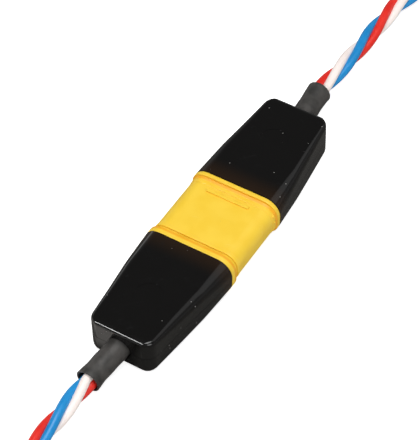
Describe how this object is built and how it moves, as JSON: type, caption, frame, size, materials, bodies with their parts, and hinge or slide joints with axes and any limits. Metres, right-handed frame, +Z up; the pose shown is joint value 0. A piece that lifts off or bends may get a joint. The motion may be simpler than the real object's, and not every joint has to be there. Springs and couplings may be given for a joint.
{
  "type": "in-line wire connector",
  "caption": "In-line plug and socket for a twisted wire lead: yellow shrouded bullet-contact housing between two black clamshell covers, with shrunk sleeves and tinned bare ends.",
  "frame": {"origin": "on the resting surface, under the middle of the mated pair of housings and covers", "axes": "+X along the leads, out of the shrouded (pin) half; +Y across the flat connector; +Z up, square to its flat faces"},
  "size_m": [0.1643, 0.013, 0.0058],
  "materials": {
    "housing_nylon": "satin moulded nylon, yellow",
    "cover_plastic": "high gloss black",
    "sleeve_film": "satin shrunk film, dark grey",
    "insulator_film": "satin shrunk film, black",
    "gold_plate": "gold-plated, bright",
    "tinned_copper": "tinned strands and solder",
    "wire_red": "satin insulation, red",
    "wire_white": "satin insulation, white",
    "wire_blue": "satin insulation, blue",
    "tie_nylon": "satin moulded nylon, black"
  },
  "bodies": {
    "shrouded_half": {"shroud_housing": "housing_nylon", "shroud_pin_blue": "gold_plate", "shroud_pin_white": "gold_plate", "shroud_pin_red": "gold_plate", "shroud_solder_blue": "tinned_copper", "shroud_solder_white": "tinned_copper", "shroud_solder_red": "tinned_copper", "shroud_insulator_blue": "insulator_film", "shroud_insulator_white": "insulator_film", "shroud_insulator_red": "insulator_film", "shroud_upper_cover": "cover_plastic", "shroud_lower_cover": "cover_plastic", "shroud_sleeve": "sleeve_film", "shroud_wire_blue": "wire_blue", "shroud_wire_white": "wire_white", "shroud_wire_red": "wire_red", "shroud_tip_blue": "tinned_copper", "shroud_tip_white": "tinned_copper", "shroud_tip_red": "tinned_copper", "shroud_lead_tie": "tie_nylon"},
    "plug_half": {"nose_housing": "housing_nylon", "nose_socket_blue": "gold_plate", "nose_socket_white": "gold_plate", "nose_socket_red": "gold_plate", "nose_solder_blue": "tinned_copper", "nose_solder_white": "tinned_copper", "nose_solder_red": "tinned_copper", "nose_insulator_blue": "insulator_film", "nose_insulator_white": "insulator_film", "nose_insulator_red": "insulator_film", "nose_upper_cover": "cover_plastic", "nose_lower_cover": "cover_plastic", "nose_sleeve": "sleeve_film", "nose_wire_blue": "wire_blue", "nose_wire_white": "wire_white", "nose_wire_red": "wire_red", "nose_tip_blue": "tinned_copper", "nose_tip_white": "tinned_copper", "nose_tip_red": "tinned_copper", "nose_lead_tie": "tie_nylon"}
  },
  "joints": [
    {"name": "plug_withdraw", "type": "slide", "parent": "shrouded_half", "child": "plug_half", "axis": [-1, 0, 0], "range_m": [0, 0.012]}
  ]
}
